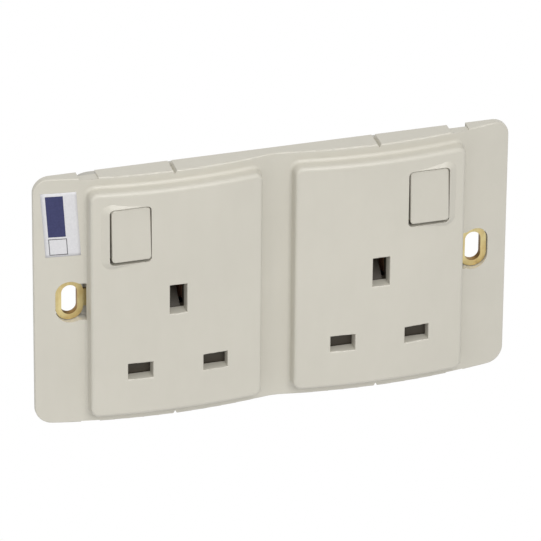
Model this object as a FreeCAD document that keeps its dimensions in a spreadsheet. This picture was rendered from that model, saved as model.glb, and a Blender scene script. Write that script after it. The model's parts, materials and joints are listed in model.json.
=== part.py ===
import FreeCAD, Part
import math
import os
import Sketcher

# Twin switched socket mechanism for a wall box, without its clip-on cover frame.
# Millimetres. Origin midway between the two fixing slots, on the rear plane of the plate.
# +X to the right seen from the front, -Y towards the user, +Z up. Depths are measured forwards.

os.makedirs("parts", exist_ok=True)
doc = FreeCAD.newDocument("twin_socket")
Vector = FreeCAD.Vector

# Driving dimensions

SIZES = {
    "plate_width": 141.0,
    "plate_height": 79.8,
    "plate_corner": 4.8,
    "gang_offset": 30.2,
    "crown_depth": 6.3,
    "crown_radius": 165.0,
    "valley_radius": 15.0,
    "pad_width": 50.3,
    "pad_height": 72.6,
    "pad_corner": 2.2,
    "pad_rise": 4.0,
    "pad_draft": 3.5,
    "pad_root": 1.0,
    "pad_arris": 1.1,
    "rim_arris": 0.4,
    "clip_notch_offset": 54.9,
    "clip_notch_width": 5.5,
    "clip_notch_depth": 0.4,
    "clip_ledge_thickness": 2.9,
    "clip_ledge_depth": 1.6,
    "vee_width": 1.2,
    "vee_depth": 1.1,
    "roof_depth": 6.4,
    "side_wall": 1.8,
    "end_wall": 4.7,
    "hollow_corner": 0.5,
    "web_relief": 0.5,
    "core_width": 102.0,
    "core_skin": 2.2,
    "core_bottom": 35.1,
    "core_top": 38.0,
    "pin_pitch": 22.23,
    "pin_line": 21.95,
    "line_hole_width": 7.3,
    "line_hole_height": 5.1,
    "earth_hole_width": 5.1,
    "earth_hole_height": 9.3,
    "hole_arris": 0.35,
    "rocker_offset": 14.0,
    "rocker_shift": 0.2,
    "rocker_height": 22.6,
    "rocker_width": 11.5,
    "rocker_length": 16.5,
    "rocker_face": 5.1,
    "rocker_corner": 1.0,
    "rocker_arris": 0.45,
    "rocker_wall": 1.2,
    "rocker_skirt_depth": 2.6,
    "rocker_taper": 0.2,
    "rocker_heel_depth": 2.2,
    "rocker_heel_share": 0.32,
    "hollow_skirt_depth": 3.1,
    "hollow_taper": 0.3,
    "hollow_heel_depth": 3.0,
    "hollow_heel_share": 0.08,
    "rocker_side_gap": 0.38,
    "rocker_end_gap": 0.7,
    "rocker_throw": 8.0,
    "pivot_depth": 5.0,
    "pivot_radius": 1.0,
    "pivot_play": 0.06,
    "ear_thickness": 1.2,
    "ear_gap": 0.3,
    "ear_margin": 1.2,
    "pin_setback": 0.1,
    "land_depth": 9.98,
    "land_margin": 0.15,
    "land_height": 1.6,
    "land_draft": 60.0,
    "plunger_reach": 11.0,
    "plunger_radius": 1.5,
    "plunger_play": 0.08,
    "plunger_length": 6.0,
    "tube_wall": 1.1,
    "plunger_gap": 0.1,
    "tube_setback": 3.0,
    "spring_room": 3.2,
    "blade_width": 4.0,
    "blade_length": 13.2,
    "blade_thickness": 0.9,
    "blade_corner": 1.0,
    "cheek_depth": 2.2,
    "cheek_root": 1.8,
    "cheek_tip": 1.0,
    "cheek_thickness": 0.6,
    "knife_play": 0.2,
    "knife_gap": 0.05,
    "knife_height": 0.9,
    "contact_offset": 5.0,
    "contact_radius": 1.5,
    "contact_height": 0.8,
    "contact_rim": 0.5,
    "fixed_contact_margin": 0.2,
    "contact_gap": 0.1,
    "bar_thickness": 0.8,
    "housing_width": 106.4,
    "housing_height": 62.0,
    "housing_depth": 18.0,
    "housing_wall": 1.2,
    "housing_floor": 1.8,
    "partition_offset": 8.0,
    "housing_corner": 3.0,
    "cavity_corner": 0.4,
    "housing_bevel": 2.5,
    "shelf_thickness": 2.5,
    "seat_reach": 2.0,
    "contact_seat_reach": 1.8,
    "window_low_margin": 1.0,
    "window_high_margin": 0.5,
    "fit_gap": 0.3,
    "fixing_pitch": 120.6,
    "slot_width": 4.7,
    "slot_height": 9.4,
    "collar_wall": 1.75,
    "collar_thickness": 1.9,
    "collar_play": 0.2,
    "strap_width": 5.5,
    "strap_neck_depth": 0.8,
    "strap_fold_radius": 1.2,
    "recess_height": 11.9,
    "recess_inset": 0.45,
    "recess_skin": 0.6,
    "recess_lintel": 3.9,
    "leg_offset": 50.4,
    "clip_level": 10.3,
    "clip_front": 3.0,
    "clip_width": 6.2,
    "clip_leaf": 0.6,
    "clip_flare": 0.7,
    "clip_lip": 1.6,
    "line_pin_thickness": 4.0,
    "earth_pin_thickness": 4.0,
    "earth_clip_height": 8.0,
    "earth_clip_foot": 4.0,
    "link_width": 3.0,
    "tab_reach": 2.0,
    "link_offset": 2.9,
    "link_tongue": 3.8,
    "cross_link_height": 12.0,
    "feed_bar_width": 3.4,
    "feed_bar_low": 19.0,
    "feed_tab_rise": 1.0,
    "neutral_bar_width": 3.4,
    "neutral_bar_low": -29.5,
    "shutter_thickness": 1.8,
    "shutter_overlap": 0.45,
    "shutter_travel": 5.4,
    "shutter_beam_top": -10.0,
    "shutter_stem_width": 9.0,
    "shutter_window": 5.2,
    "shutter_slot_top": -14.5,
    "shutter_slot_play": 0.4,
    "shutter_window_margin": 0.5,
    "rail_offset": 14.6,
    "rail_width": 1.8,
    "ramp_width": 3.0,
    "ramp_tip": 0.6,
    "ramp_foot": 2.2,
    "spring_radius": 1.5,
    "spring_wire": 0.45,
    "plunger_spring_turns": 3.5,
    "shutter_spring_turns": 7.0,
    "spring_seat_margin": 0.7,
    "spring_seat_gap": 0.1,
    "spring_shelf_gap": 0.5,
    "terminal_width": 7.0,
    "terminal_length": 8.0,
    "terminal_depth": 5.9,
    "wire_hole_radius": 2.1,
    "line_terminal_height": 25.6,
    "earth_terminal_height": 8.0,
    "screw_radius": 1.75,
    "screw_head_radius": 2.6,
    "screw_head_height": 1.6,
    "screw_length": 3.8,
    "driver_slot": 0.7,
    "thread_play": 0.05,
    "screw_tip_skin": 0.8,
    "screw_play": 0.2,
    "screw_sink": 2.0,
    "housing_screw_radius": 1.5,
    "housing_post_radius": 3.4,
    "plate_boss_radius": 2.6,
    "post_depth": 2.0,
    "upper_screw_offset": 14.0,
    "lower_screw_offset": 48.7,
    "screw_row": 26.2,
}

sheet = doc.addObject("Spreadsheet::Sheet", "Sizes")
for row, (alias, value) in enumerate(SIZES.items(), start=1):
    sheet.set("A%d" % row, alias)
    sheet.set("B%d" % row, str(value))
    sheet.setAlias("B%d" % row, alias)
doc.recompute()


class Size:
    """A length or an angle with its value and the sheet expression that gives it."""

    def __init__(self, value, text):
        self.value = float(value)
        self.text = text

    @staticmethod
    def of(item):
        return item if isinstance(item, Size) else Size(item, repr(float(item)))

    def __add__(self, other):
        other = Size.of(other)
        return Size(self.value + other.value, "(%s + %s)" % (self.text, other.text))

    def __sub__(self, other):
        other = Size.of(other)
        return Size(self.value - other.value, "(%s - %s)" % (self.text, other.text))

    def __mul__(self, other):
        other = Size.of(other)
        return Size(self.value * other.value, "(%s * %s)" % (self.text, other.text))

    def __truediv__(self, other):
        other = Size.of(other)
        return Size(self.value / other.value, "(%s / %s)" % (self.text, other.text))

    def __neg__(self):
        return Size(-self.value, "(0 - %s)" % self.text)

    def __radd__(self, other):
        return Size.of(other) + self

    def __rsub__(self, other):
        return Size.of(other) - self

    def __rmul__(self, other):
        return Size.of(other) * self

    def root(self):
        return Size(math.sqrt(self.value), "sqrt(%s)" % self.text)

    def sine(self):
        return Size(math.sin(math.radians(self.value)), "sin(%s)" % self.text)

    def cosine(self):
        return Size(math.cos(math.radians(self.value)), "cos(%s)" % self.text)


class Sheet:
    """Gives each driving dimension by its alias."""

    def __getattr__(self, alias):
        return Size(getattr(sheet, alias), "Sizes.%s" % alias)


# A cut runs past its material by OVERRUN, or by SLACK where other forms are near.
# A fused form runs into its wall by BITE.

s = Sheet()
ZERO = Size(0.0, "0")
OVERRUN = 1
BITE = 0.3
SLACK = 0.1

# Sketch and feature helpers


def new_body(label):
    body = doc.addObject("PartDesign::Body", label)
    body.Label = label
    return body


def new_sketch(body, role, offset=ZERO):
    plane = [item for item in body.Origin.OriginFeatures if item.Role == role][0]
    sketch = body.newObject("Sketcher::SketchObject", body.Label + "_sketch")
    sketch.AttachmentSupport = [(plane, "")]
    sketch.MapMode = "FlatFace"
    sketch.setExpression(".AttachmentOffset.Base.z", offset.text)
    sketch.AttachmentOffset = FreeCAD.Placement(Vector(0, 0, offset.value), FreeCAD.Rotation())
    return sketch


def fix_point(sketch, geometry, point, u, v):
    for kind, size in (("DistanceX", u), ("DistanceY", v)):
        index = sketch.addConstraint(Sketcher.Constraint(kind, -1, 1, geometry, point, size.value))
        sketch.setExpression("Constraints[%d]" % index, size.text)


def outline(sketch, corners):
    """Closed outline. Each corner is (u, v), or (u, v, centre) where an arc leaves it."""
    corners = [tuple(Size.of(item) for item in c[:2]) + tuple(c[2:]) for c in corners]
    first = sketch.GeometryCount
    ends = []
    centres = []
    for here, after in zip(corners, corners[1:] + corners[:1]):
        start = Vector(here[0].value, here[1].value, 0)
        end = Vector(after[0].value, after[1].value, 0)
        if len(here) == 2:
            sketch.addGeometry(Part.LineSegment(start, end))
            ends.append((1, 2))
            continue
        cu, cv = (Size.of(item) for item in here[2])
        centre = Vector(cu.value, cv.value, 0)
        out, back = start - centre, end - centre
        left_turn = out.x * back.y - out.y * back.x > -1e-9
        if not left_turn:
            out, back = back, out
        arc = Part.ArcOfCircle(Part.Circle(centre, Vector(0, 0, 1), out.Length),
                               math.atan2(out.y, out.x), math.atan2(back.y, back.x))
        index = sketch.addGeometry(arc)
        ends.append((1, 2) if left_turn else (2, 1))
        flat = abs(end.x - start.x) >= abs(end.y - start.y)
        centres.append((index, "DistanceY" if flat else "DistanceX", cv if flat else cu))
    count = len(corners)
    for i in range(count):
        j = (i + 1) % count
        sketch.addConstraint(Sketcher.Constraint("Coincident", first + i, ends[i][1], first + j, ends[j][0]))
    for i, corner in enumerate(corners):
        fix_point(sketch, first + i, ends[i][0], corner[0], corner[1])
    for index, kind, size in centres:
        row = sketch.addConstraint(Sketcher.Constraint(kind, -1, 1, index, 3, size.value))
        sketch.setExpression("Constraints[%d]" % row, size.text)
    return sketch


def rectangle(sketch, left, right, low, high, corner=None):
    left, right, low, high = (Size.of(item) for item in (left, right, low, high))
    if corner is None:
        return outline(sketch, [(left, low), (right, low), (right, high), (left, high)])
    r = Size.of(corner)
    return outline(sketch, [
        (left + r, low), (right - r, low, (right - r, low + r)),
        (right, low + r), (right, high - r, (right - r, high - r)),
        (right - r, high), (left + r, high, (left + r, high - r)),
        (left, high - r), (left, low + r, (left + r, low + r)),
    ])


def oval(sketch, cu, cv, width, height):
    """Upright slot with round ends."""
    cu, cv = Size.of(cu), Size.of(cv)
    half = width / 2
    low, high = cv - height / 2 + half, cv + height / 2 - half
    return outline(sketch, [
        (cu + half, low), (cu + half, high, (cu, high)),
        (cu - half, high), (cu - half, low, (cu, low)),
    ])


def circle(sketch, cu, cv, radius):
    cu, cv = Size.of(cu), Size.of(cv)
    ring = Part.Circle(Vector(cu.value, cv.value, 0), Vector(0, 0, 1), radius.value)
    index = sketch.addGeometry(ring)
    row = sketch.addConstraint(Sketcher.Constraint("Radius", index, radius.value))
    sketch.setExpression("Constraints[%d]" % row, radius.text)
    fix_point(sketch, index, 3, cu, cv)
    return sketch


def extrude(sketch, kind, length, both=False, reverse=False, draft=None):
    body = sketch.getParentGeoFeatureGroup()
    feature = body.newObject("PartDesign::" + kind, body.Label + "_" + kind.lower())
    feature.Profile = sketch
    feature.Length = length.value
    feature.setExpression("Length", length.text)
    feature.SideType = "Symmetric" if both else "One side"
    feature.Reversed = reverse
    if draft is not None:
        feature.TaperAngle = draft.value
        feature.setExpression("TaperAngle", draft.text)
    return feature


def pad(sketch, length, **options):
    return extrude(sketch, "Pad", Size.of(length), **options)


def pocket(sketch, length, **options):
    """Cut, and stop if it takes nothing away."""
    doc.recompute()
    body = sketch.getParentGeoFeatureGroup()
    before = body.Shape.Volume
    feature = extrude(sketch, "Pocket", Size.of(length), **options)
    doc.recompute()
    if body.Shape.Volume > before - 1e-4:
        raise RuntimeError("A cut in %s removes nothing." % body.Label)
    return feature


def round_edges(body, size, wanted):
    """Fillet the edges of the body that the test picks."""
    doc.recompute()
    base = body.Tip
    names = ["Edge%d" % (i + 1) for i, edge in enumerate(base.Shape.Edges) if wanted(edge)]
    if not names:
        raise RuntimeError("No edge to round on %s." % body.Label)
    feature = body.newObject("PartDesign::Fillet", body.Label + "_fillet")
    feature.Base = (base, names)
    feature.Radius = size.value
    feature.setExpression("Radius", size.text)
    doc.recompute()
    return feature


def move(item, x=ZERO, y=ZERO, z=ZERO):
    for key, size in (("x", x), ("y", y), ("z", z)):
        item.setExpression(".Placement.Base." + key, Size.of(size).text)


def middle(edge):
    return edge.valueAt((edge.FirstParameter + edge.LastParameter) / 2)


def near(a, b, within=0.05):
    return abs(a - b) < within


# Shared places

def crown_centre():
    return s.crown_radius - s.crown_depth


def crown_y(radius, distance):
    """Where a crown of this radius lies at this distance across from its axis."""
    return crown_centre() - (radius * radius - distance * distance).root()


pad_radius = s.crown_radius + s.pad_rise
pad_peak = s.crown_depth + s.pad_rise
hollow_outer = s.gang_offset + s.pad_width / 2 - s.side_wall
hollow_inner = s.partition_offset - s.fit_gap
hollow_high = s.pad_height / 2 - s.end_wall
rocker_x = s.gang_offset + s.rocker_offset
collar_width = s.slot_width + s.collar_wall * 2
collar_height = s.slot_height + s.collar_wall * 2
fixing_x = s.fixing_pitch / 2
floor_y = s.housing_depth - s.housing_floor
blade_y = s.plunger_reach - s.pivot_depth + s.plunger_gap + s.blade_thickness
contact_face = blade_y + s.contact_offset * s.rocker_throw.sine() + s.contact_height + s.contact_gap
sides = (("left", -1), ("right", 1))


def ordered(a, b):
    return (a, b) if a.value < b.value else (b, a)


def span(sign, a, b):
    """Two places counted from the middle of the plate, put in order on one side of it."""
    return ordered(Size.of(a) * sign, Size.of(b) * sign)


# Front plate

def front_plate():
    body = new_body("front_plate")
    add_rim(body)
    add_pads(body)
    add_rocker_lands(body)
    cut_openings(body)
    hollow_out(body)
    add_ears_and_bosses(body)
    cut_fixing_recesses(body)
    cut_edge_notches(body)


def wave(sketch, skin, half_width, rear):
    """Section of the two crowned gangs and the valley between them, a skin below the front."""
    radius = s.crown_radius - skin
    y = crown_centre()
    reach = radius + s.valley_radius + skin
    valley_y = y - (reach * reach - s.gang_offset * s.gang_offset).root()
    share = radius / reach
    join_x = s.gang_offset * (1 - share)
    join_y = y + (valley_y - y) * share
    end_y = crown_y(radius, half_width - s.gang_offset)
    return outline(sketch, [
        (-half_width, rear), (half_width, rear),
        (half_width, end_y, (s.gang_offset, y)),
        (join_x, join_y, (ZERO, valley_y)),
        (-join_x, join_y, (-s.gang_offset, y)),
        (-half_width, end_y),
    ])


def on_crown(point, radius):
    """True where a point lies on the crown of either gang."""
    side = math.copysign(s.gang_offset.value, point.x)
    return near(math.hypot(point.x - side, point.y - crown_centre().value), radius.value, 0.02)


def add_rim(body):
    half_width, half_height = s.plate_width / 2, s.plate_height / 2
    pad(wave(new_sketch(body, "XY_Plane"), ZERO, half_width, ZERO), s.plate_height, both=True)
    round_edges(body, s.plate_corner, lambda e: (
        near(abs(middle(e).x), half_width.value) and near(abs(middle(e).z), half_height.value)
        and abs(e.tangentAt(e.FirstParameter).y) > 0.9))
    round_edges(body, s.rim_arris, lambda e: (
        middle(e).y < -0.5 and near(abs(middle(e).z), half_height.value)))


def add_pads(body):
    half_width, half_height = s.pad_width / 2, s.pad_height / 2
    for name, sign in sides:
        centre = s.gang_offset * sign
        face = new_sketch(body, "XZ_Plane", pad_peak)
        rectangle(face, centre - half_width, centre + half_width, -half_height, half_height, s.pad_corner)
        pad(face, pad_peak, reverse=True, draft=s.pad_draft)
    for name, sign in sides:
        trim_pad(body, s.gang_offset * sign, half_width + pad_peak / 2)
    round_edges(body, s.pad_root, is_pad_root)
    round_edges(body, s.pad_arris, lambda e: on_crown(middle(e), pad_radius))


def is_pad_root(edge):
    """True where a pad's side meets the plate, and False on the rim and the valley's borders."""
    point = middle(edge)
    if not on_crown(point, s.crown_radius) or not on_crown(edge.valueAt(edge.FirstParameter), s.crown_radius):
        return False
    in_height = abs(point.z) < s.plate_height.value / 2 - OVERRUN
    across = abs(abs(point.x) - s.gang_offset.value)
    return in_height and across < s.pad_width.value / 2 + OVERRUN


def trim_pad(body, centre, reach):
    """Take the pad's flat top down to its crown."""
    top = -(pad_peak + OVERRUN)
    left, right = centre - reach, centre + reach
    edge_y = crown_y(pad_radius, reach)
    sketch = new_sketch(body, "XY_Plane")
    outline(sketch, [(left, top), (right, top), (right, edge_y, (centre, crown_centre())), (left, edge_y)])
    pocket(sketch, s.plate_height, both=True)


def rocker_hole(sketch, sign, margin):
    x = rocker_x * sign
    half_width = s.rocker_width / 2 + s.rocker_side_gap + margin
    half_height = s.rocker_length / 2 + s.rocker_end_gap + margin
    rectangle(sketch, x - half_width, x + half_width, s.rocker_height - half_height,
              s.rocker_height + half_height, s.rocker_corner + s.rocker_side_gap + margin)


def add_rocker_lands(body):
    """Flat land round each rocker, which stands proud where the crown falls away from it."""
    for name, sign in sides:
        land = new_sketch(body, "XZ_Plane", s.land_depth)
        rocker_hole(land, sign, s.land_margin)
        pad(land, s.land_height, reverse=True, draft=s.land_draft)


def hollow_out(body):
    rear = new_sketch(body, "XZ_Plane")
    for name, sign in sides:
        inner, outer = span(sign, hollow_inner, hollow_outer)
        rectangle(rear, inner, outer, -hollow_high, hollow_high, s.hollow_corner)
    pocket(rear, s.roof_depth, reverse=True)
    web = new_sketch(body, "XZ_Plane")
    rectangle(web, -(hollow_inner + OVERRUN), hollow_inner + OVERRUN, -hollow_high, hollow_high)
    pocket(web, s.web_relief, reverse=True)
    for low in (s.core_bottom, -s.core_top):
        groove = new_sketch(body, "XY_Plane", low)
        wave(groove, s.core_skin, s.core_width / 2, Size.of(OVERRUN))
        pocket(groove, s.core_top - s.core_bottom, reverse=True)


def add_ears_and_bosses(body):
    root = s.roof_depth + BITE
    for name, sign in sides:
        edge = s.rocker_width / 2 + s.ear_gap
        for start in (rocker_x * sign - edge - s.ear_thickness, rocker_x * sign + edge):
            ear = new_sketch(body, "YZ_Plane", start)
            half = s.pivot_radius + s.ear_margin
            rear = -(s.pivot_depth - half + s.fit_gap)
            rectangle(ear, -root, rear, s.rocker_height - half, s.rocker_height + half)
            circle(ear, -s.pivot_depth, s.rocker_height, s.pivot_radius + s.pivot_play)
            pad(ear, s.ear_thickness)
        for x, z in screw_places(sign):
            boss = new_sketch(body, "XZ_Plane", root)
            circle(boss, x, z, s.plate_boss_radius)
            circle(boss, x, z, s.housing_screw_radius + s.thread_play)
            pad(boss, root - s.post_depth - s.fit_gap, reverse=True)


def cut_openings(body):
    front = pad_peak + OVERRUN
    holes = new_sketch(body, "XZ_Plane", front)
    for name, sign in sides:
        centre = s.gang_offset * sign
        for x in pin_places(centre):
            rectangle(holes, x - s.line_hole_width / 2, x + s.line_hole_width / 2,
                      -s.pin_line - s.line_hole_height / 2, -s.pin_line + s.line_hole_height / 2)
        rectangle(holes, centre - s.earth_hole_width / 2, centre + s.earth_hole_width / 2,
                  earth_z - s.earth_hole_height / 2, earth_z + s.earth_hole_height / 2)
    pocket(holes, front)
    openings = new_sketch(body, "XZ_Plane", front)
    for name, sign in sides:
        rocker_hole(openings, sign, ZERO)
    pocket(openings, front)
    round_edges(body, s.hole_arris, is_pin_hole_edge)


def is_pin_hole_edge(edge):
    """True on the front edge of a pin aperture."""
    point = middle(edge)
    if point.y > -(s.roof_depth.value + OVERRUN):
        return False
    across = abs(point.x) - s.gang_offset.value
    at_line = (abs(abs(across) - s.pin_pitch.value / 2) < s.line_hole_width.value / 2 + SLACK
               and abs(point.z + s.pin_line.value) < s.line_hole_height.value / 2 + SLACK)
    at_earth = (abs(across) < s.earth_hole_width.value / 2 + SLACK
                and abs(point.z - earth_z.value) < s.earth_hole_height.value / 2 + SLACK)
    along = abs(edge.tangentAt(edge.FirstParameter).y) > 0.9
    return (at_line or at_earth) and not along


def cut_fixing_recesses(body):
    """Oval hole for each collar, and the recess that its strap comes through."""
    wall = hollow_outer - BITE
    root = s.gang_offset + s.pad_width / 2 + s.recess_inset
    recess = new_sketch(body, "XY_Plane")
    slot = new_sketch(body, "XZ_Plane", s.crown_depth + OVERRUN)
    for name, sign in sides:
        corners = [
            (wall * sign, -s.recess_skin), (wall * sign, -s.recess_lintel),
            (root * sign, -s.recess_lintel), (root * sign, -(s.crown_depth + OVERRUN)),
            (fixing_x * sign, -(s.crown_depth + OVERRUN)), (fixing_x * sign, -s.recess_skin),
        ]
        outline(recess, corners)
        oval(slot, fixing_x * sign, ZERO, collar_width + s.collar_play * 2, collar_height + s.collar_play * 2)
    pocket(recess, s.recess_height, both=True)
    pocket(slot, s.crown_depth + OVERRUN)


def cut_edge_notches(body):
    """Clip notches with a ledge in front, where the rear of the edge is cut deeper, and vees."""
    edge = s.plate_height / 2
    ledge_rear = -crown_y(s.crown_radius, s.clip_notch_offset - s.gang_offset) - s.clip_ledge_thickness
    sketch = new_sketch(body, "XZ_Plane", s.crown_depth + OVERRUN)
    behind = new_sketch(body, "XZ_Plane")
    for name, sign in sides:
        for up in (-1, 1):
            left, right = span(sign, s.clip_notch_offset - s.clip_notch_width / 2,
                               s.clip_notch_offset + s.clip_notch_width / 2)
            low, high = span(up, edge - s.clip_notch_depth, edge + OVERRUN)
            rectangle(sketch, left, right, low, high)
            low, high = span(up, edge - s.clip_ledge_depth, edge + OVERRUN)
            rectangle(behind, left, right, low, high)
            x = s.gang_offset * sign
            outline(sketch, [
                (x - s.vee_width / 2, (edge + OVERRUN) * up), (x - s.vee_width / 2, edge * up),
                (x, (edge - s.vee_depth) * up), (x + s.vee_width / 2, edge * up),
                (x + s.vee_width / 2, (edge + OVERRUN) * up),
            ])
    pocket(sketch, s.crown_depth + OVERRUN)
    pocket(behind, ledge_rear, reverse=True)


# Rear housing

def rear_housing():
    body = new_body("rear_housing")
    half_width, half_height = s.housing_width / 2, s.housing_height / 2
    rim = s.roof_depth - s.fit_gap
    front = new_sketch(body, "XZ_Plane", rim)
    rectangle(front, -half_width, half_width, -half_height, half_height, s.housing_corner)
    pad(front, rim + s.housing_depth, reverse=True)
    bevels = new_sketch(body, "YZ_Plane")
    deep = s.housing_depth
    for up in (-1, 1):
        outline(bevels, [
            (deep + OVERRUN, (half_height - s.housing_bevel - OVERRUN) * up),
            (deep + OVERRUN, (half_height + OVERRUN) * up),
            (deep - s.housing_bevel - OVERRUN, (half_height + OVERRUN) * up),
        ])
    pocket(bevels, s.housing_width + OVERRUN, both=True)
    step = new_sketch(body, "XZ_Plane", rim + OVERRUN)
    rectangle(step, -s.partition_offset, s.partition_offset, -(half_height + OVERRUN), half_height + OVERRUN)
    pocket(step, rim + OVERRUN - s.web_relief)
    cavities = new_sketch(body, "XZ_Plane", rim + OVERRUN)
    high = half_height - s.housing_wall
    for name, sign in sides:
        inner, outer = span(sign, s.partition_offset + s.housing_wall, half_width - s.housing_wall)
        rectangle(cavities, inner, outer, -high, high, s.cavity_corner)
    inner = s.partition_offset - s.housing_wall
    rectangle(cavities, -inner, inner, -high, high, s.cavity_corner)
    pocket(cavities, rim + OVERRUN + floor_y)
    add_housing_supports(body, high)
    cut_housing_ways(body, rim, half_width)


def add_housing_supports(body, high):
    """Screw posts, shutter rails, spring shelves and the seats of the contacts."""
    root = floor_y + BITE
    for name, sign in sides:
        centre = s.gang_offset * sign
        for x, z in screw_places(sign):
            post = new_sketch(body, "XZ_Plane", -root)
            circle(post, x, z, s.housing_post_radius)
            pad(post, root + s.post_depth)
        rails = new_sketch(body, "XZ_Plane", -root)
        for out in (-1, 1):
            left, right = ordered(centre + s.rail_offset * out, centre + (s.rail_offset + s.rail_width) * out)
            rectangle(rails, left, right, -s.pin_line, s.shutter_beam_top)
        pad(rails, root + s.roof_depth - s.fit_gap * 2 - s.shutter_thickness)
        seats = new_sketch(body, "XZ_Plane", -root)
        for x in pin_places(centre):
            rectangle(seats, x - s.seat_reach, x + s.seat_reach,
                      -s.pin_line - s.contact_seat_reach, -s.pin_line + s.contact_seat_reach)
        rectangle(seats, rocker_x * sign - s.contact_seat_reach, rocker_x * sign + s.contact_seat_reach,
                  s.rocker_height + s.contact_offset - s.contact_seat_reach, high + BITE)
        pad(seats, root - s.clip_level)
        shelf = new_sketch(body, "XZ_Plane", s.roof_depth - s.fit_gap)
        rectangle(shelf, centre - spring_seat, centre + spring_seat, -(high + BITE), spring_low)
        pad(shelf, spring_seat * 2, reverse=True)


def cut_housing_ways(body, rim, half_width):
    """Ways for the bars through the partitions, wire windows and screw holes."""
    past = s.partition_offset + s.housing_wall + SLACK
    gap = s.fit_gap
    ways = new_sketch(body, "XZ_Plane", rim + OVERRUN)
    rectangle(ways, -past, past, s.feed_bar_low - gap, s.feed_bar_low + s.feed_bar_width + gap)
    rectangle(ways, -past, past, -(s.strap_width / 2 + gap), s.strap_width / 2 + gap)
    pocket(ways, rim + OVERRUN + floor_y)
    notches = new_sketch(body, "XZ_Plane", rim + OVERRUN)
    for name, sign in sides:
        centre = s.gang_offset * sign
        across = shutter_reach + gap
        low = -(s.housing_height / 2 + OVERRUN)
        high = -(s.housing_height / 2 - s.housing_wall - SLACK)
        for left, right in ((centre - across, centre - spring_seat), (centre + spring_seat, centre + across)):
            rectangle(notches, left, right, low, high)
    pocket(notches, s.shutter_thickness + OVERRUN + gap)
    way = new_sketch(body, "XZ_Plane", rim + OVERRUN)
    rectangle(way, -past, past, s.neutral_bar_low - gap, s.neutral_bar_low + s.neutral_bar_width + gap)
    pocket(way, rim + OVERRUN + s.clip_level)
    for name, sign in sides:
        left, right = span(sign, half_width - s.housing_wall - OVERRUN, half_width + OVERRUN)
        neck = new_sketch(body, "XZ_Plane", rim + OVERRUN)
        rectangle(neck, left, right, -s.recess_height / 2, s.recess_height / 2)
        pocket(neck, rim + OVERRUN - s.strap_neck_depth + s.fit_gap)
    holes = new_sketch(body, "XZ_Plane", -(s.housing_depth + OVERRUN))
    for z in terminal_places:
        circle(holes, ZERO, z, s.screw_head_radius + gap)
    for up in (-1, 1):
        low, high = span(up, s.earth_terminal_height + s.terminal_length / 2 + s.window_low_margin,
                         s.feed_bar_low - s.window_high_margin)
        rectangle(holes, -s.terminal_width / 2, s.terminal_width / 2, low, high, s.cavity_corner)
    pocket(holes, s.housing_floor + OVERRUN + BITE, reverse=True)
    seats = new_sketch(body, "XZ_Plane", -(s.housing_depth + OVERRUN))
    bores = new_sketch(body, "XZ_Plane", -(s.housing_depth + OVERRUN))
    for name, sign in sides:
        for x, z in screw_places(sign):
            circle(seats, x, z, s.screw_head_radius + gap)
            circle(bores, x, z, s.housing_screw_radius + s.screw_play)
    pocket(seats, s.screw_sink + OVERRUN, reverse=True)
    pocket(bores, s.housing_depth + s.post_depth + OVERRUN * 2, reverse=True)


# Rockers with their plungers and springs

def place_on_rocker(item, sign):
    turn = FreeCAD.Rotation(Vector(1, 0, 0), -s.rocker_throw.value / 2)
    item.Placement = FreeCAD.Placement(Vector(), turn)
    move(item, rocker_x * sign + s.rocker_shift, -s.pivot_depth, s.rocker_height)


def rocker(name, sign):
    """Hollow cap with trunnions and the plunger's tube, drawn about its pivot at mid throw."""
    body = new_body(name + "_rocker")
    half, face = s.rocker_length / 2, s.rocker_face
    wall = s.rocker_wall
    inside = half - wall
    skirt, heel = half - s.rocker_taper, half * s.rocker_heel_share
    side = new_sketch(body, "YZ_Plane")
    outline(side, [
        (-face, -half), (-face, half), (-s.rocker_skirt_depth, skirt), (s.rocker_heel_depth, heel),
        (s.rocker_heel_depth, -heel), (-s.rocker_skirt_depth, -skirt),
    ])
    pad(side, s.rocker_width, both=True)
    round_edges(body, s.rocker_corner, lambda e: (
        near(abs(middle(e).x), s.rocker_width.value / 2) and abs(middle(e).z) > skirt.value - SLACK
        and middle(e).y < -s.rocker_skirt_depth.value and abs(e.tangentAt(e.FirstParameter).y) > 0.9))
    round_edges(body, s.rocker_arris, lambda e: near(middle(e).y, -face.value))
    pins = new_sketch(body, "YZ_Plane")
    circle(pins, ZERO, ZERO, s.pivot_radius)
    pad(pins, s.rocker_width + (s.ear_gap + s.ear_thickness - s.pin_setback) * 2, both=True)
    hollow = new_sketch(body, "YZ_Plane")
    tip = half * s.hollow_heel_share
    outline(hollow, [
        (wall - face, inside - s.rocker_taper), (-s.hollow_skirt_depth, inside - s.hollow_taper),
        (s.hollow_heel_depth, tip), (s.hollow_heel_depth, -tip),
        (-s.hollow_skirt_depth, -(inside - s.hollow_taper)), (wall - face, -(inside - s.rocker_taper)),
    ])
    pocket(hollow, s.rocker_width - wall * 2, both=True)
    tube = new_sketch(body, "XZ_Plane", face - wall + BITE)
    circle(tube, ZERO, ZERO, bore_radius + s.tube_wall)
    pad(tube, face - wall + BITE + tube_end, reverse=True)
    bore = new_sketch(body, "XZ_Plane", -tube_end)
    circle(bore, ZERO, ZERO, bore_radius)
    pocket(bore, tube_end - bore_end, reverse=True)
    place_on_rocker(body, sign)


def revolve(sketch, axis):
    body = sketch.getParentGeoFeatureGroup()
    feature = body.newObject("PartDesign::Revolution", body.Label + "_turned")
    feature.Profile = sketch
    feature.ReferenceAxis = (sketch, [axis])
    feature.Angle = 360
    return feature


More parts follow.
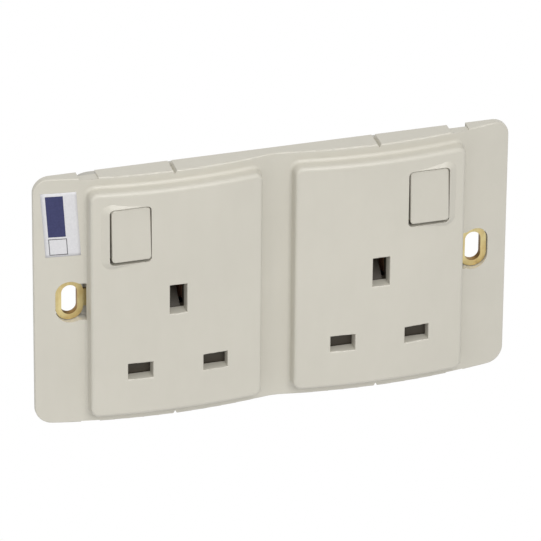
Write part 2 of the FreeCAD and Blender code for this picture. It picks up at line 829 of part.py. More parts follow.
def plunger(name, sign):
    body = new_body(name + "_plunger")
    back = s.plunger_reach - s.plunger_length
    shoulder = s.plunger_reach - s.plunger_radius
    half = new_sketch(body, "XY_Plane")
    outline(half, [
        (ZERO, back), (s.plunger_radius, back),
        (s.plunger_radius, shoulder, (ZERO, shoulder)), (ZERO, s.plunger_reach),
    ])
    revolve(half, "V_Axis")
    place_on_rocker(body, sign)


def coil(label, radius, length, turns):
    """Round-wire compression spring that stands on its origin."""
    rise = length - s.spring_wire
    helix = doc.addObject("Part::Helix", label + "_helix")
    helix.setExpression("Pitch", (rise / turns).text)
    helix.setExpression("Height", rise.text)
    helix.setExpression("Radius", radius.text)
    ring = doc.addObject("Part::Circle", label + "_wire")
    ring.setExpression("Radius", (s.spring_wire / 2).text)
    ring.Placement = FreeCAD.Placement(Vector(), FreeCAD.Rotation(Vector(1, 0, 0), 90))
    move(ring, radius)
    spring = doc.addObject("Part::Sweep", label)
    spring.Label = label
    spring.Sections = [ring]
    spring.Spine = (helix, ["Edge1"])
    spring.Solid = True
    spring.Frenet = True
    return spring


def plunger_spring(name, sign):
    start, end = bore_end + s.spring_seat_gap, s.plunger_reach - s.plunger_length - s.spring_seat_gap
    spring = coil(name + "_plunger_spring", s.plunger_radius - s.spring_wire, end - start,
                  s.plunger_spring_turns)
    angle = -s.rocker_throw / 2
    spring.Placement = FreeCAD.Placement(Vector(), FreeCAD.Rotation(Vector(1, 0, 0), angle.value - 90))
    foot = start + s.spring_wire / 2
    move(spring, rocker_x * sign + s.rocker_shift,
         foot * angle.cosine() - s.pivot_depth, foot * angle.sine() + s.rocker_height)


# Switch contacts

def place_on_blade(item, sign):
    item.Placement = FreeCAD.Placement(Vector(), FreeCAD.Rotation(Vector(1, 0, 0), s.rocker_throw.value))
    move(item, rocker_x * sign, blade_y, s.rocker_height)


def switch_blade(name, sign):
    """See-saw strip that rocks on the feed bar's knife edge, drawn about that edge."""
    body = new_body(name + "_switch_blade")
    half_width, half_length = s.blade_width / 2, s.blade_length / 2
    strip = new_sketch(body, "XZ_Plane")
    rectangle(strip, -half_width, half_width, -half_length, half_length, s.blade_corner)
    pad(strip, s.blade_thickness)
    cheeks = new_sketch(body, "YZ_Plane")
    outline(cheeks, [
        (-s.blade_thickness / 2, -s.cheek_root), (s.cheek_depth, -s.cheek_tip),
        (s.cheek_depth, s.cheek_tip), (-s.blade_thickness / 2, s.cheek_root),
    ])
    pad(cheeks, s.blade_width, both=True)
    gap = new_sketch(body, "YZ_Plane")
    rectangle(gap, ZERO, s.cheek_depth + OVERRUN, -(s.cheek_root + OVERRUN), s.cheek_root + OVERRUN)
    pocket(gap, s.blade_width - s.cheek_thickness * 2, both=True)
    place_on_blade(body, sign)


def moving_contact(name, sign):
    body = new_body(name + "_moving_contact")
    rivet = new_sketch(body, "XY_Plane", s.contact_offset)
    dome = s.contact_height - s.contact_rim
    radius = (s.contact_radius * s.contact_radius + dome * dome) / (dome * 2)
    outline(rivet, [
        (ZERO, ZERO), (s.contact_radius, ZERO),
        (s.contact_radius, s.contact_rim, (ZERO, s.contact_height - radius)), (ZERO, s.contact_height),
    ])
    revolve(rivet, "V_Axis")
    place_on_blade(body, sign)


def fixed_contact(name, sign):
    body = new_body(name + "_fixed_contact")
    disc = new_sketch(body, "XZ_Plane", -contact_face)
    circle(disc, rocker_x * sign, s.rocker_height + s.contact_offset,
           s.contact_radius + s.fixed_contact_margin)
    pad(disc, s.clip_level - s.bar_thickness - contact_face, reverse=True)


# Bars and clips

def clip_section(across, gap, low, high, foot=None):
    """U section of a pin clip with flared lips, low to high along the pin, on a flat foot or none."""
    inner = gap / 2
    outer = inner + s.clip_leaf
    lip = low + s.clip_lip
    base = high - s.bar_thickness
    half = [
        (inner, base), (inner, lip), (inner + s.clip_flare, low), (outer + s.clip_flare, low), (outer, lip),
    ]
    if foot is None:
        half += [(outer, high)]
    else:
        half += [(outer, base), (foot, base), (foot, high)]
    return [(across + u, v) for u, v in half + [(-u, v) for u, v in reversed(half)]]


def pin_clip(body, x):
    """Clip for a line or neutral pin, open towards the front."""
    profile = new_sketch(body, "YZ_Plane", x - s.clip_width / 2)
    corners = clip_section(-s.pin_line, s.line_pin_thickness, -s.clip_front, s.clip_level)
    outline(profile, [(v, u) for u, v in corners])
    pad(profile, s.clip_width)


def flat_blank(body, corners):
    sketch = new_sketch(body, "XZ_Plane", -s.clip_level)
    outline(sketch, corners)
    pad(sketch, s.bar_thickness)


def line_contact(name, sign):
    """Strip from the fixed contact to the line pin's clip."""
    body = new_body(name + "_line_contact")
    tip = (rocker_x + s.tab_reach) * sign
    far = (rocker_x - s.link_offset) * sign
    near_edge = (rocker_x - s.link_offset - s.link_width) * sign
    low = s.rocker_height + s.contact_offset - s.link_tongue / 2
    high = low + s.link_tongue
    clip_x = s.gang_offset * sign + s.pin_pitch / 2
    left, right = clip_x - s.clip_width / 2, clip_x + s.clip_width / 2
    top, bottom = clip_top, clip_bottom
    if sign > 0:
        corners = [
            (tip, low), (tip, high), (near_edge, high), (near_edge, top), (left, top),
            (left, bottom), (right, bottom), (right, top), (far, top), (far, low),
        ]
    else:
        cross = s.cross_link_height
        drop = clip_x + s.link_width / 2
        rise = clip_x - s.link_width / 2
        corners = [
            (tip, low), (far, low), (far, cross), (rise, cross), (rise, top), (left, top),
            (left, bottom), (right, bottom), (right, top), (drop, top), (drop, cross + s.link_width),
            (near_edge, cross + s.link_width), (near_edge, high), (tip, high),
        ]
    flat_blank(body, corners)
    pin_clip(body, clip_x)


def neutral_bar():
    body = new_body("neutral_bar")
    low, high = s.neutral_bar_low, s.neutral_bar_low + s.neutral_bar_width
    first = -s.gang_offset - s.pin_pitch / 2
    second = s.gang_offset - s.pin_pitch / 2
    half = s.clip_width / 2
    flat_blank(body, [
        (first - half, low), (second + half, low), (second + half, clip_top), (second - half, clip_top),
        (second - half, high), (first + half, high), (first + half, clip_top), (first - half, clip_top),
    ])
    for x in (first, second):
        pin_clip(body, x)


def line_feed_bar():
    """Bar on the housing floor with a knife edge under each switch blade."""
    body = new_body("line_feed_bar")
    low, high = s.feed_bar_low, s.feed_bar_low + s.feed_bar_width
    end, tab = rocker_x + s.tab_reach, rocker_x - s.tab_reach
    half = s.terminal_width / 2
    top = s.line_terminal_height + s.terminal_length / 2
    strip = new_sketch(body, "XZ_Plane", -floor_y)
    outline(strip, [
        (-end, low), (end, low), (end, high + s.feed_tab_rise), (tab, high + s.feed_tab_rise), (tab, high),
        (half, high), (half, top), (-half, top), (-half, high),
        (-tab, high), (-tab, high + s.feed_tab_rise), (-end, high + s.feed_tab_rise),
    ])
    circle(strip, ZERO, s.line_terminal_height, s.screw_radius + s.screw_play)
    pad(strip, s.bar_thickness)
    for name, sign in sides:
        z = s.rocker_height
        thick = s.bar_thickness / 2
        width = s.blade_width - (s.cheek_thickness + s.knife_play) * 2
        shoulder = blade_y + s.knife_height
        knife = new_sketch(body, "YZ_Plane", rocker_x * sign - width / 2)
        outline(knife, [
            (floor_y, z - thick), (floor_y, z + thick), (shoulder, z + thick),
            (blade_y + s.knife_gap, z), (shoulder, z - thick),
        ])
        pad(knife, width)


def earth_strap():
    """One folded strip from collar to collar, with the plate that carries the earth terminals."""
    body = new_body("earth_strap")
    t = s.bar_thickness
    neck = fixing_x - s.slot_width / 2 - BITE
    back, front = -s.strap_neck_depth, -s.strap_neck_depth - t
    floor, top = floor_y, floor_y - t
    inner, outer = s.leg_offset, s.leg_offset + t
    fold = new_sketch(body, "XY_Plane")
    outline(fold, [
        (neck, front), (inner, front), (inner, top), (-inner, top), (-inner, front), (-neck, front),
        (-neck, back), (-outer, back), (-outer, floor), (outer, floor), (outer, back), (neck, back),
    ])
    pad(fold, s.strap_width, both=True)
    round_edges(body, s.strap_fold_radius, lambda e: (
        near(abs(middle(e).x), outer.value) and near(middle(e).y, floor.value)
        or near(abs(middle(e).x), inner.value) and near(middle(e).y, front.value)))
    plate = new_sketch(body, "XZ_Plane", -floor)
    end = s.earth_terminal_height + s.terminal_length / 2
    rectangle(plate, -s.terminal_width / 2, s.terminal_width / 2, -end, end)
    pad(plate, t)
    holes = new_sketch(body, "XZ_Plane", -floor)
    for up in (-1, 1):
        circle(holes, ZERO, s.earth_terminal_height * up, s.screw_radius + s.screw_play)
    pocket(holes, t, reverse=True)
    for name, sign in sides:
        collar = new_sketch(body, "XZ_Plane", s.collar_thickness)
        oval(collar, fixing_x * sign, ZERO, collar_width, collar_height)
        pad(collar, s.collar_thickness, reverse=True)
    for name, sign in sides:
        slot = new_sketch(body, "XZ_Plane", s.collar_thickness + OVERRUN)
        oval(slot, fixing_x * sign, ZERO, s.slot_width, s.slot_height)
        pocket(slot, s.collar_thickness + OVERRUN * 2)


def earth_clip(name, sign):
    body = new_body(name + "_earth_clip")
    profile = new_sketch(body, "XY_Plane", earth_z - s.earth_clip_height / 2)
    outline(profile, clip_section(s.gang_offset * sign, s.earth_pin_thickness, -s.clip_front,
                                  floor_y - s.bar_thickness, s.earth_clip_foot))
    pad(profile, s.earth_clip_height)


# Shutters

def shutter(name, sign):
    """Slider that covers the line and neutral apertures, with the ramp that the earth pin drives."""
    body = new_body(name + "_shutter")
    centre = s.gang_offset * sign
    reach = shutter_reach
    bottom = -s.pin_line - s.line_hole_height / 2 - s.shutter_overlap
    beam = s.shutter_beam_top
    stem = s.shutter_stem_width / 2
    slot = spring_seat + s.shutter_slot_play
    ramp_bottom = earth_z - s.earth_hole_height / 2
    top = earth_z + s.earth_clip_height / 2 + s.shutter_travel + s.shutter_window_margin
    crown = top + s.ramp_foot
    plate = new_sketch(body, "XZ_Plane", s.roof_depth - s.fit_gap)
    outline(plate, [
        (centre - reach, bottom), (centre - slot, bottom), (centre - slot, s.shutter_slot_top),
        (centre + slot, s.shutter_slot_top), (centre + slot, bottom), (centre + reach, bottom),
        (centre + reach, beam), (centre + stem, beam), (centre + stem, crown),
        (centre - stem, crown), (centre - stem, beam), (centre - reach, beam),
    ])
    half = s.shutter_window / 2
    rectangle(plate, centre - half, centre + half, ramp_bottom, top)
    lid_top = -s.pin_line + s.line_hole_height / 2 + s.shutter_overlap
    for x in pin_places(centre):
        across = s.line_hole_width / 2 + SLACK
        rectangle(plate, x - across, x + across, lid_top, lid_top + s.shutter_travel + SLACK * 2)
    pad(plate, s.shutter_thickness, reverse=True)
    front = -(s.roof_depth - s.fit_gap)
    back = front + s.shutter_thickness
    crest = earth_z - s.earth_clip_height / 2 + s.shutter_travel
    foot = ramp_bottom - s.ramp_foot
    ramp = new_sketch(body, "YZ_Plane", centre - s.ramp_width / 2)
    outline(ramp, [
        (front, ramp_bottom), (s.ramp_tip, crest), (s.ramp_tip, crest - s.ramp_foot), (back, foot),
        (front, foot),
    ])
    pad(ramp, s.ramp_width)


def shutter_spring(name, sign):
    start, end = spring_low + s.spring_seat_gap, s.shutter_slot_top - s.spring_seat_gap
    spring = coil(name + "_shutter_spring", s.spring_radius - s.spring_wire / 2, end - start,
                  s.shutter_spring_turns)
    move(spring, s.gang_offset * sign, s.spring_radius + s.spring_shelf_gap - s.roof_depth,
         start + s.spring_wire / 2)


# Terminals and fasteners

def terminal(name, z, rear):
    """Brass block with a wire hole along Z and a screw hole from the rear."""
    body = new_body(name)
    half = s.terminal_width / 2
    block = new_sketch(body, "XZ_Plane", -rear)
    rectangle(block, -half, half, z - s.terminal_length / 2, z + s.terminal_length / 2)
    pad(block, s.terminal_depth)
    wire = new_sketch(body, "XY_Plane", z + s.terminal_length / 2)
    circle(wire, ZERO, rear - s.terminal_depth / 2, s.wire_hole_radius)
    pocket(wire, s.terminal_length)
    screw = new_sketch(body, "XZ_Plane", -rear)
    circle(screw, ZERO, z, s.screw_radius + s.thread_play)
    pocket(screw, s.terminal_depth / 2, reverse=True)


def screw_solid(x, z, seat, radius, head_radius, head_height, length):
    """Pan-head slotted screw that points forwards, its head's seat at y = seat."""
    parts = []
    for size, tall, start in ((head_radius, head_height, seat), (radius, length + BITE, seat - length)):
        part = doc.addObject("Part::Cylinder", "screw_turned")
        part.setExpression("Radius", size.text)
        part.setExpression("Height", Size.of(tall).text)
        part.Placement = FreeCAD.Placement(Vector(), FreeCAD.Rotation(Vector(1, 0, 0), -90))
        move(part, x, start, z)
        parts.append(part)
    blank = doc.addObject("Part::Fuse", "screw_blank")
    blank.Base, blank.Tool = parts
    slot = doc.addObject("Part::Box", "screw_slot")
    slot.setExpression("Length", (head_radius * 2 + OVERRUN * 2).text)
    slot.setExpression("Width", (s.driver_slot + OVERRUN).text)
    slot.setExpression("Height", s.driver_slot.text)
    move(slot, x - head_radius - OVERRUN, seat + head_height - s.driver_slot, z - s.driver_slot / 2)
    screw = doc.addObject("Part::Cut", "screw")
    screw.Base, screw.Tool = blank, slot
    return screw


def screw_group(label, screws):
    group = doc.addObject("Part::Compound", label)
    group.Label = label
    group.Links = screws


# Places that several pieces share

earth_z = s.pin_pitch - s.pin_line
tube_end = s.plunger_reach - s.tube_setback
bore_end = s.plunger_reach - s.plunger_length - s.spring_room
bore_radius = s.plunger_radius + s.plunger_play
spring_seat = s.spring_radius + s.spring_seat_margin
spring_low = -(s.housing_height / 2 - s.housing_wall - s.shelf_thickness)
shutter_reach = s.pin_pitch / 2 + s.line_hole_width / 2 + s.shutter_overlap
clip_top = -s.pin_line + s.line_pin_thickness / 2 + s.clip_leaf
clip_bottom = -s.pin_line - s.line_pin_thickness / 2 - s.clip_leaf
terminal_places = (s.line_terminal_height, s.earth_terminal_height,
                   -s.earth_terminal_height, -s.line_terminal_height)


def pin_places(centre):
    return centre - s.pin_pitch / 2, centre + s.pin_pitch / 2


def screw_places(sign):
    return ((s.upper_screw_offset * sign, s.screw_row), (s.lower_screw_offset * sign, -s.screw_row))


front_plate()
rear_housing()
for name, sign in sides:
    rocker(name, sign)
    plunger(name, sign)
    plunger_spring(name, sign)
    switch_blade(name, sign)
    moving_contact(name, sign)
    fixed_contact(name, sign)
    line_contact(name, sign)
    earth_clip(name, sign)
    shutter(name, sign)
    shutter_spring(name, sign)
neutral_bar()
line_feed_bar()
earth_strap()
terminal("line_terminal", s.line_terminal_height, floor_y - s.bar_thickness)
terminal("upper_earth_terminal", s.earth_terminal_height, floor_y - s.bar_thickness)
terminal("lower_earth_terminal", -s.earth_terminal_height, floor_y - s.bar_thickness)
terminal("neutral_terminal", -s.line_terminal_height, floor_y)
screw_group("terminal_screws", [
    screw_solid(ZERO, z, floor_y, s.screw_radius, s.screw_head_radius, s.screw_head_height, s.screw_length)
    for z in terminal_places])
screw_group("housing_screws", [
    screw_solid(x, z, s.housing_depth - s.screw_sink, s.housing_screw_radius, s.screw_head_radius,
                s.screw_head_height, s.housing_depth - s.screw_sink + s.roof_depth - s.screw_tip_skin)
    for name, sign in sides for x, z in screw_places(sign)])
doc.recompute()

# Check every object and write the pieces

failed = [item.Label for item in doc.Objects
          if "Invalid" in item.State or "Error" in item.State]
if failed:
    raise RuntimeError("These did not build: " + ", ".join(failed))
pieces = [item for item in doc.Objects
          if item.TypeId in ("PartDesign::Body", "Part::Sweep", "Part::Compound")]
for piece in pieces:
    if piece.Shape.isNull() or not piece.Shape.isValid():
        raise RuntimeError("No valid solid in " + piece.Label)
    piece.Shape.exportStep("parts/%s.step" % piece.Label)
    print(piece.Label, len(piece.Shape.Solids), round(piece.Shape.Volume, 1), piece.Shape.BoundBox)
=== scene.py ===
import bpy
import bmesh
import json
import math
from mathutils import Matrix, Vector


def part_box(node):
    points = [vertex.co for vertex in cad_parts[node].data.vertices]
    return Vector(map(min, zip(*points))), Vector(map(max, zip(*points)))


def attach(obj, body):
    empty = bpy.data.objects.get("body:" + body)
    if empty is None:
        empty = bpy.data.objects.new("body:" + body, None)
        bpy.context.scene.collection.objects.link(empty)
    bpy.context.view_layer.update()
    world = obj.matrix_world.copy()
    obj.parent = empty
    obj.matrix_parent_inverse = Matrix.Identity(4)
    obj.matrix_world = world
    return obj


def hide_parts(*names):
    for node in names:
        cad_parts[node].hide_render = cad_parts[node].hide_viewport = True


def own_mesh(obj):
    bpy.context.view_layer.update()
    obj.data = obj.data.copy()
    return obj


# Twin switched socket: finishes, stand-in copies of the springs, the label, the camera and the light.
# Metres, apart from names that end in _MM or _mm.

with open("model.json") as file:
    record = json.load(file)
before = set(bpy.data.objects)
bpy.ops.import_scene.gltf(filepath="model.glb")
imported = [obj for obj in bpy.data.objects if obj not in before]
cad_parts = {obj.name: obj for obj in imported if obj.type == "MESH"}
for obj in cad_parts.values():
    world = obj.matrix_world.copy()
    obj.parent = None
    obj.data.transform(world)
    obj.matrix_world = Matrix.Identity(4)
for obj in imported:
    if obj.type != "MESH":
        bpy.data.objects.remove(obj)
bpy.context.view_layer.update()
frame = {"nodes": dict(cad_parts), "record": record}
record = frame["record"]
scene = bpy.context.scene
MM = 0.001
WHITE = (1.0, 1.0, 1.0)

FACE = (0.577, 0.553, 0.482)
HOUSING = (0.52, 0.505, 0.455)
SHUTTER = (0.045, 0.037, 0.026)
BRASS = (0.72, 0.61, 0.31)
BRONZE = (0.50, 0.29, 0.19)
SILVER = (0.80, 0.79, 0.76)
SPRING_STEEL = (0.50, 0.50, 0.51)
SCREW_STEEL = (0.62, 0.61, 0.57)

# The label's paper and inks, each as the darker and the lighter colour of its fibres.
PAPER = ((0.62, 0.615, 0.63), (0.68, 0.675, 0.69))
NAVY_INK = ((0.024, 0.027, 0.095), (0.034, 0.038, 0.12))
BLACK_INK = ((0.05, 0.05, 0.055), (0.09, 0.09, 0.1))

# The label's outline as (x, z), clockwise from its top left corner, the height of its front over the
# flange, and the share of that height that the sheet fills, so that its back stays clear of the flange.
LABEL_CORNERS_MM = ((-68.54, 35.3), (-58.49, 35.75), (-57.3, 15.3), (-67.2, 14.8))
LABEL_THICKNESS_MM = 0.06
LABEL_SHEET_SHARE = 0.9
LABEL_COLUMNS = 10
LABEL_ROWS = 20

# The crown of the plate, with the sizes that it has in the frame.
CROWN_RADIUS_MM = 165.0
CROWN_DEPTH_MM = 6.3
GANG_OFFSET_MM = 30.2

# Print on the label as left, right, low and high shares of its width and height.
PRINT_BLOCK = (0.124, 0.618, 0.312, 0.95)
PRINT_SQUARE = (0.118, 0.639, 0.028, 0.283)
PRINT_SQUARE_INSIDE = (0.14, 0.617, 0.04, 0.271)

# Camera angles in degrees, its sensor and lens in millimetres.
CAMERA_AZIMUTH = 16.136
CAMERA_ELEVATION = 29.335
CAMERA_ROLL = 0.507
CAMERA_TARGET_MM = (-0.065, 0.0, -0.354)
CAMERA_DISTANCE = 1.8017
SENSOR_WIDTH = 36.0
LENS = 416.45
CLIP_NEAR = 0.05
CLIP_FAR = 30.0

WORLD_STRENGTH = 0.51
FLOOR_GREY = 0.8
FLOOR_HALF = 4.0
FLOOR_LEVEL = -0.45

# Square lamps that all point at the origin: name, place, side and power in watts.
LAMPS = (
    ("key", (0.0, -1.4, 1.45), 1.2, 15.0),
    ("top", (-0.1, -0.5, 1.9), 1.2, 5.5),
    ("side", (-1.5, -1.2, 0.6), 1.2, 3.8),
    ("camera_side", (-0.35, -1.8, 1.0), 1.0, 3.5),
    ("front", (0.42, -1.68, 0.96), 0.3, 3.6),
)


# Node helpers

class Nodes:
    """A material's node tree with short calls to add and join nodes."""

    def __init__(self, name):
        self.material = bpy.data.materials.new(name)
        self.material.use_nodes = True
        self.tree = self.material.node_tree
        self.tree.nodes.clear()
        self.output = self.add("ShaderNodeOutputMaterial")

    def add(self, kind, **values):
        node = self.tree.nodes.new(kind)
        for key, value in values.items():
            setattr(node, key, value)
        return node

    def join(self, source, target):
        self.tree.links.new(source, target)

    def feed(self, socket, item):
        """Join an output to the socket, or set the socket to a plain value."""
        if isinstance(item, bpy.types.NodeSocket):
            self.join(item, socket)
        else:
            socket.default_value = item

    def shader(self, **values):
        """The main shader, with values that are the same all over the surface."""
        node = self.add("ShaderNodeBsdfPrincipled")
        for key, value in values.items():
            node.inputs[key].default_value = value
        self.join(node.outputs["BSDF"], self.output.inputs["Surface"])
        return node

    def place(self, stretch=(1.0, 1.0, 1.0)):
        """The point's place on the object. A pattern runs long where the stretch is small."""
        coords = self.add("ShaderNodeTexCoord")
        mapping = self.add("ShaderNodeMapping")
        mapping.inputs["Scale"].default_value = stretch
        self.join(coords.outputs["Object"], mapping.inputs["Vector"])
        return mapping.outputs["Vector"]

    def parts(self, kind):
        """The X, Y and Z outputs of one kind of texture coordinate."""
        coords = self.add("ShaderNodeTexCoord")
        split = self.add("ShaderNodeSeparateXYZ")
        self.join(coords.outputs[kind], split.inputs["Vector"])
        return split.outputs

    def noise(self, vector, scale, detail, roughness):
        node = self.add("ShaderNodeTexNoise")
        node.inputs["Scale"].default_value = scale
        node.inputs["Detail"].default_value = detail
        node.inputs["Roughness"].default_value = roughness
        self.join(vector, node.inputs["Vector"])
        return node.outputs["Fac"]

    def ramp(self, factor, low, high):
        """A ramp between two stops, each a place and a colour."""
        node = self.add("ShaderNodeValToRGB")
        for point, (place, colour) in zip(node.color_ramp.elements, (low, high)):
            point.position = place
            point.color = (*colour, 1.0)
        self.join(factor, node.inputs["Fac"])
        return node.outputs["Color"]

    def span(self, factor, low, high):
        """The factor spread from low to high."""
        node = self.add("ShaderNodeMapRange")
        node.inputs["To Min"].default_value = low
        node.inputs["To Max"].default_value = high
        self.join(factor, node.inputs["Value"])
        return node.outputs["Result"]

    def blend(self, factor, a, b, mode="MIX"):
        node = self.add("ShaderNodeMix", data_type="RGBA", blend_type=mode)
        for key, item in (("Factor", factor), ("A", a), ("B", b)):
            self.feed(node.inputs[key], item)
        return node.outputs["Result"]

    def bump(self, height, strength, distance):
        node = self.add("ShaderNodeBump")
        node.inputs["Strength"].default_value = strength
        node.inputs["Distance"].default_value = distance
        self.join(height, node.inputs["Height"])
        return node.outputs["Normal"]

    def math(self, operation, a, b=0.0, c=0.0):
        node = self.add("ShaderNodeMath", operation=operation)
        for socket, item in zip(node.inputs, (a, b, c)):
            self.feed(socket, item)
        return node.outputs["Value"]


def tint(colour, factor):
    return tuple(min(1.0, channel * factor) for channel in colour)


# Materials

def moulded_plastic(name, colour, roughness, grain, grain_depth_mm):
    """Moulded plastic: faint flow clouds in colour and gloss, and a fine grain."""
    nodes = Nodes(name)
    shader = nodes.shader(IOR=1.5)
    where = nodes.place()
    clouds = nodes.noise(where, scale=38.0, detail=4.0, roughness=0.55)
    flow = nodes.noise(nodes.place((1.0, 1.0, 0.35)), scale=210.0, detail=3.0, roughness=0.6)
    specks = nodes.noise(where, scale=2600.0, detail=2.0, roughness=0.5)
    base = nodes.ramp(clouds, (0.3, tint(colour, 0.975)), (0.7, tint(colour, 1.02)))
    streaks = nodes.ramp(flow, (0.35, (0.975, 0.975, 0.97)), (0.65, WHITE))
    nodes.join(nodes.blend(0.6, base, streaks, "MULTIPLY"), shader.inputs["Base Color"])
    nodes.join(nodes.span(flow, roughness - 0.05, roughness + 0.06), shader.inputs["Roughness"])
    height = nodes.math("MULTIPLY_ADD", specks, 1.0, nodes.math("MULTIPLY", flow, 0.6))
    nodes.join(nodes.bump(height, grain, grain_depth_mm * MM), shader.inputs["Normal"])
    return nodes.material


def metal(name, colour, roughness, stretch, tarnish, painted_side_shade=None):
    """Rolled or turned metal with fine lines along its grain, a slight tarnish and, if given, painted shade:
    a darker colour on its cut edges and on every face that doesn't look along Y.

    The flat faces of a strip look along Y, and its cut edges look any other way.
    """
    nodes = Nodes(name)
    shader = nodes.shader(Metallic=1.0)
    lines = nodes.noise(nodes.place(stretch), scale=900.0, detail=3.0, roughness=0.6)
    stains = nodes.noise(nodes.place(), scale=160.0, detail=4.0, roughness=0.6)
    base = nodes.ramp(lines, (0.3, tint(colour, 0.88)), (0.7, tint(colour, 1.06)))
    base = nodes.blend(0.75, base, nodes.ramp(stains, (0.42, WHITE), (0.72, tarnish)), "MULTIPLY")
    if painted_side_shade:
        # Painted shade: faces that don't look along Y, such as cut edges and the walls of holes, are darkened
        # by the given colour.
        facing = nodes.math("ABSOLUTE", nodes.parts("Normal")["Y"])
        base = nodes.blend(1.0, base, nodes.ramp(facing, (0.55, painted_side_shade), (0.95, WHITE)), "MULTIPLY")
    nodes.join(base, shader.inputs["Base Color"])
    nodes.join(nodes.span(stains, roughness - 0.06, roughness + 0.14), shader.inputs["Roughness"])
    nodes.join(nodes.bump(lines, strength=0.18, distance=0.03 * MM), shader.inputs["Normal"])
    return nodes.material


def label_print():
    """White label stock with a plain dark block and an outlined square, all drawn from its own UV."""
    nodes = Nodes("label_print")
    shader = nodes.shader(IOR=1.45)
    uv = nodes.parts("UV")
    across = uv["X"]
    along = uv["Y"]

    def inside(area):
        left, right, low, high = area
        in_width = nodes.math(
            "MULTIPLY", nodes.math("GREATER_THAN", across, left), nodes.math("LESS_THAN", across, right))
        in_height = nodes.math(
            "MULTIPLY", nodes.math("GREATER_THAN", along, low), nodes.math("LESS_THAN", along, high))
        return nodes.math("MULTIPLY", in_width, in_height)

    line = nodes.math("SUBTRACT", inside(PRINT_SQUARE), inside(PRINT_SQUARE_INSIDE))
    fibre = nodes.noise(nodes.place(), scale=1500.0, detail=3.0, roughness=0.6)
    paper, navy, black = (
        nodes.ramp(fibre, (0.3, dark), (0.7, light)) for dark, light in (PAPER, NAVY_INK, BLACK_INK))
    stock = nodes.blend(inside(PRINT_BLOCK), paper, navy)
    nodes.join(nodes.blend(line, stock, black), shader.inputs["Base Color"])
    nodes.join(nodes.span(fibre, 0.38, 0.5), shader.inputs["Roughness"])
    nodes.join(nodes.bump(fibre, strength=0.1, distance=0.01 * MM), shader.inputs["Normal"])
    return nodes.material


# How the fine lines of a metal run.
EVEN = (1.0, 1.0, 1.0)
ALONG_Z = (1.0, 1.0, 0.08)
SPRING_LINES = (1.0, 1.0, 0.3)
SCREW_LINES = (1.0, 0.2, 1.0)

SLOTS = {
    "face_plastic": moulded_plastic(
        "face_plastic_look", FACE, roughness=0.37, grain=0.20, grain_depth_mm=0.02),
    "rocker_plastic": moulded_plastic(
        "rocker_plastic_look", tint(FACE, 0.96), roughness=0.29, grain=0.14, grain_depth_mm=0.015),
    "housing_plastic": moulded_plastic(
        "housing_plastic_look", HOUSING, roughness=0.55, grain=0.4, grain_depth_mm=0.04),
    "shutter_plastic": moulded_plastic(
        "shutter_plastic_look", SHUTTER, roughness=0.5, grain=0.3, grain_depth_mm=0.03),
    "brass": metal(
        "brass_look", BRASS, 0.44, ALONG_Z, tarnish=(0.80, 0.66, 0.50), painted_side_shade=(0.45, 0.34, 0.24)),
    "contact_silver": metal(
        "contact_silver_look", SILVER, 0.32, EVEN, tarnish=(0.8, 0.78, 0.74)),
    "spring_steel": metal(
        "spring_steel_look", SPRING_STEEL, 0.34, SPRING_LINES, tarnish=(0.8, 0.8, 0.8)),
    "screw_steel": metal(
        "screw_steel_look", SCREW_STEEL, 0.32, SCREW_LINES, tarnish=(0.85, 0.82, 0.74)),
}
CLIP_BRONZE = metal("clip_bronze_look", BRONZE, 0.42, ALONG_Z, tarnish=(0.62, 0.50, 0.42))

slot_of = {row["node"]: row["material_slot"] for row in record["subparts"]}
for name, item in frame["nodes"].items():
    look = CLIP_BRONZE if name.endswith("_earth_clip") else SLOTS[slot_of[name]]
    item.data.materials.clear()
    item.data.materials.append(look)


# Copies of the springs on their moving bodies

def live_spring(node, joint_name):
    """Stand a copy in for a coil spring on the body that carries it, and hide the CAD spring."""
    joint = next(row for row in record["behaviour"]["joints"] if row["name"] == joint_name)
    spring = next(row for row in joint["deforming_nodes"] if row["node"] == node)
    letter = spring["mode"][-1]
    side = "xyz".index(letter)
    low, high = (Vector(corner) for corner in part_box(node))
    anchor = (low + high) / 2
    anchor[side] = spring["fixed_end_%s_m" % letter]
    source = frame["nodes"][node]
    coil = bpy.data.objects.new(node + "_coil", source.data.copy())
    scene.collection.objects.link(coil)
    coil.matrix_world = source.matrix_world.copy()
    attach(coil, next(body for body, nodes in record["behaviour"]["bodies"].items() if node in nodes))
    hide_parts(node)
    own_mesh(coil)


for side_name in ("left", "right"):
    live_spring(side_name + "_plunger_spring", side_name + "_plunger_slide")
    live_spring(side_name + "_shutter_spring", side_name + "_shutter_slide")


# Label on the left flange

def flange_depth_mm(x):
    """How far the crowned flange stands in front of the plate's rear plane."""
    distance = abs(x) - GANG_OFFSET_MM
    return CROWN_DEPTH_MM - (CROWN_RADIUS_MM - math.sqrt(CROWN_RADIUS_MM ** 2 - distance ** 2))


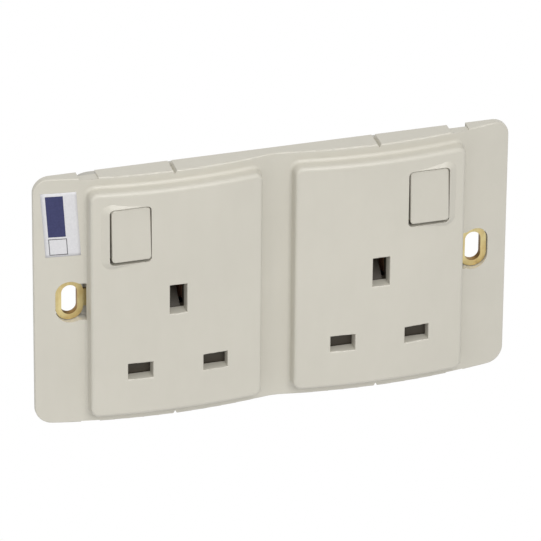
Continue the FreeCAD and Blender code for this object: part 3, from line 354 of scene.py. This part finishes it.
def make_label():
    """Thin sheet that follows the flange, with a UV map that spans it from edge to edge."""
    top_left, top_right, low_right, low_left = (Vector(corner) for corner in LABEL_CORNERS_MM)
    mesh = bmesh.new()
    uv = mesh.loops.layers.uv.new("print")
    grid = []
    for j in range(LABEL_ROWS + 1):
        left = low_left.lerp(top_left, j / LABEL_ROWS)
        right = low_right.lerp(top_right, j / LABEL_ROWS)
        row = []
        for i in range(LABEL_COLUMNS + 1):
            place = left.lerp(right, i / LABEL_COLUMNS)
            forward = flange_depth_mm(place.x) + LABEL_THICKNESS_MM
            row.append(mesh.verts.new((place.x * MM, -forward * MM, place.y * MM)))
        grid.append(row)
    for j in range(LABEL_ROWS):
        for i in range(LABEL_COLUMNS):
            corners = ((i, j), (i + 1, j), (i + 1, j + 1), (i, j + 1))
            face = mesh.faces.new([grid[v][u] for u, v in corners])
            face.smooth = True
            for loop, (u, v) in zip(face.loops, corners):
                loop[uv].uv = (u / LABEL_COLUMNS, v / LABEL_ROWS)
    data = bpy.data.meshes.new("rating_label")
    mesh.to_mesh(data)
    mesh.free()
    item = bpy.data.objects.new("rating_label", data)
    scene.collection.objects.link(item)
    body = item.modifiers.new("body", "SOLIDIFY")
    body.thickness = LABEL_THICKNESS_MM * LABEL_SHEET_SHARE * MM
    body.offset = -1.0
    data.materials.append(label_print())
    return item


label = make_label()
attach(label, "mechanism")


# Camera

def place_camera():
    azimuth, elevation, roll = (
        math.radians(angle) for angle in (CAMERA_AZIMUTH, CAMERA_ELEVATION, CAMERA_ROLL))
    level = math.cos(elevation)
    back = Vector((-math.sin(azimuth) * level, -math.cos(azimuth) * level, math.sin(elevation)))
    right = Vector((math.cos(azimuth), -math.sin(azimuth), 0.0))
    up = back.cross(right)
    tilted_right = right * math.cos(roll) + up * math.sin(roll)
    tilted_up = up * math.cos(roll) - right * math.sin(roll)
    data = bpy.data.cameras.new("camera")
    data.sensor_width = SENSOR_WIDTH
    data.lens = LENS
    data.clip_start = CLIP_NEAR
    data.clip_end = CLIP_FAR
    camera = bpy.data.objects.new("camera", data)
    scene.collection.objects.link(camera)
    rotation = Matrix((tilted_right, tilted_up, back)).transposed().to_4x4()
    target = Vector(CAMERA_TARGET_MM) * MM
    camera.matrix_world = Matrix.Translation(target + back * CAMERA_DISTANCE) @ rotation
    scene.camera = camera


# Light

def white_when_seen(tree, white_kind, lit, output):
    """Plain white to the camera, glossy and transmitted rays, and the lit shader to the rest."""
    path = tree.nodes.new("ShaderNodeLightPath")
    white = tree.nodes.new(white_kind)
    white.inputs["Color"].default_value = (*WHITE, 1.0)
    seen = path.outputs["Is Camera Ray"]
    for ray in ("Is Glossy Ray", "Is Transmission Ray"):
        either = tree.nodes.new("ShaderNodeMath")
        either.operation = "MAXIMUM"
        tree.links.new(seen, either.inputs[0])
        tree.links.new(path.outputs[ray], either.inputs[1])
        seen = either.outputs["Value"]
    mix = tree.nodes.new("ShaderNodeMixShader")
    tree.links.new(seen, mix.inputs["Fac"])
    tree.links.new(lit, mix.inputs[1])
    tree.links.new(white.outputs[0], mix.inputs[2])
    tree.links.new(mix.outputs["Shader"], output.inputs["Surface"])


def make_world():
    world = bpy.data.worlds.new("studio")
    world.use_nodes = True
    scene.world = world
    tree = world.node_tree
    tree.nodes.clear()
    output = tree.nodes.new("ShaderNodeOutputWorld")
    soft = tree.nodes.new("ShaderNodeBackground")
    soft.inputs["Color"].default_value = (*WHITE, 1.0)
    soft.inputs["Strength"].default_value = WORLD_STRENGTH
    white_when_seen(tree, "ShaderNodeBackground", soft.outputs["Background"], output)


def make_floor():
    data = bpy.data.meshes.new("floor")
    corners = [(x * FLOOR_HALF, y * FLOOR_HALF, FLOOR_LEVEL) for x, y in ((-1, -1), (1, -1), (1, 1), (-1, 1))]
    data.from_pydata(corners, [], [(0, 1, 2, 3)])
    floor = bpy.data.objects.new("floor", data)
    scene.collection.objects.link(floor)
    nodes = Nodes("floor_look")
    paper = nodes.add("ShaderNodeBsdfDiffuse")
    paper.inputs["Color"].default_value = (FLOOR_GREY, FLOOR_GREY, FLOOR_GREY, 1.0)
    white_when_seen(nodes.tree, "ShaderNodeEmission", paper.outputs["BSDF"], nodes.output)
    data.materials.append(nodes.material)


def hang_lamp(name, place, side, power):
    data = bpy.data.lights.new(name, "AREA")
    data.shape = "SQUARE"
    data.size = side
    data.energy = power
    lamp = bpy.data.objects.new(name, data)
    scene.collection.objects.link(lamp)
    lamp.location = place
    lamp.rotation_mode = "QUATERNION"
    lamp.rotation_quaternion = (-Vector(place)).to_track_quat("-Z", "Y")


place_camera()
make_world()
make_floor()
for lamp_row in LAMPS:
    hang_lamp(*lamp_row)
scene.view_settings.view_transform = "Standard"
